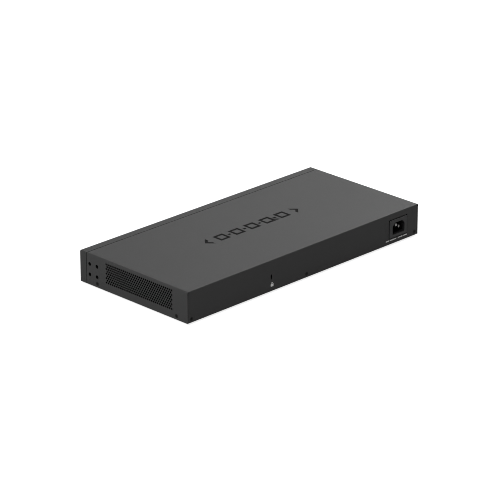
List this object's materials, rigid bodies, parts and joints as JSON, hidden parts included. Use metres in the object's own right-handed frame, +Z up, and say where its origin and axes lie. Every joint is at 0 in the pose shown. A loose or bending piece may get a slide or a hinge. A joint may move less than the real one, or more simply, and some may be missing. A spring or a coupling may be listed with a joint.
{
  "type": "network switch",
  "caption": "Rack-width Ethernet switch in a low black steel case, with rows of copper ports, fibre cages, side vents, lock slot and rear mains inlet.",
  "frame": {"origin": "centre of the footprint, on the plane that the feet stand on", "axes": "+X to the right as seen from the ports, +Y from the ports towards the mains inlet, +Z up"},
  "size_m": [0.44, 0.205, 0.0465],
  "materials": {
    "case_paint": "satin black powder coat with a fine texture",
    "fascia_paint": "satin black powder coat with a fine texture",
    "pan_paint": "satin black powder coat on the outside of the pan",
    "screw_black": "black zinc",
    "screw_zinc": "bright zinc",
    "foot_rubber": "matte",
    "board_green": "solder mask",
    "board_tan": "bare laminate",
    "tinplate": "bright tin",
    "port_plastic": "moulded",
    "inlet_plastic": "moulded, semi-gloss",
    "blade_metal": "nickel plated",
    "chip_package": "moulded",
    "sink_aluminium": "extruded",
    "switch_plastic": "moulded",
    "button_plastic": "moulded",
    "clear_plastic": "clear moulded",
    "header_plastic": "moulded",
    "film_black": "polycarbonate film",
    "fuse_body": "moulded",
    "film_capacitor": "potted box",
    "choke_copper": "enamelled copper wire",
    "can_sleeve": "shrink sleeve",
    "transformer_core": "ferrite with yellow tape",
    "cable_black": "PVC insulation",
    "earth_green": "green and yellow PVC insulation"
  },
  "bodies": {
    "chassis": {"base_pan": "pan_paint", "top_cover": "case_paint", "front_fascia": "fascia_paint", "foot_front_left": "foot_rubber", "cover_screw_left_front": "screw_black", "foot_front_right": "foot_rubber", "cover_screw_right_front": "screw_black", "foot_rear_left": "foot_rubber", "cover_screw_left_rear": "screw_black", "foot_rear_right": "foot_rubber", "cover_screw_right_rear": "screw_black", "cover_screw_rear_left": "screw_black", "cover_screw_rear_middle": "screw_black", "cover_screw_rear_right": "screw_black", "main_board": "board_green", "main_board_screw_1": "screw_zinc", "supply_board_screw_1": "screw_zinc", "main_board_screw_2": "screw_zinc", "supply_board_screw_2": "screw_zinc", "main_board_screw_3": "screw_zinc", "supply_board_screw_3": "screw_zinc", "main_board_screw_4": "screw_zinc", "supply_board_screw_4": "screw_zinc", "jack_housing_left": "port_plastic", "jack_shield_left": "tinplate", "fibre_connector_left": "port_plastic", "phy_chip_left": "chip_package", "phy_heatsink_left": "sink_aluminium", "jack_housing_right": "port_plastic", "jack_shield_right": "tinplate", "fibre_connector_right": "port_plastic", "phy_chip_right": "chip_package", "phy_heatsink_right": "sink_aluminium", "fibre_cage": "tinplate", "switch_chip": "chip_package", "switch_heatsink": "sink_aluminium", "reset_switch": "switch_plastic", "defaults_switch": "switch_plastic", "power_led": "clear_plastic", "power_light_pipe": "clear_plastic", "output_header": "header_plastic", "insulation_sheet": "film_black", "supply_board": "board_tan", "power_inlet": "inlet_plastic", "live_blade": "blade_metal", "neutral_blade": "blade_metal", "earth_blade": "blade_metal", "fuse": "fuse_body", "x_capacitor": "film_capacitor", "line_choke": "choke_copper", "bulk_capacitor": "can_sleeve", "primary_heatsink": "sink_aluminium", "supply_transformer": "transformer_core", "secondary_heatsink": "sink_aluminium", "output_capacitor_1": "can_sleeve", "output_capacitor_2": "can_sleeve", "output_cable": "cable_black", "earth_lead": "earth_green"},
    "reset": {"reset_button": "button_plastic"},
    "defaults": {"defaults_button": "button_plastic"}
  },
  "joints": [
    {"name": "reset_press", "type": "slide", "parent": "chassis", "child": "reset", "axis": [0, 1, 0], "range_m": [0, 0.0005]},
    {"name": "defaults_press", "type": "slide", "parent": "chassis", "child": "defaults", "axis": [0, 1, 0], "range_m": [0, 0.0005]}
  ]
}
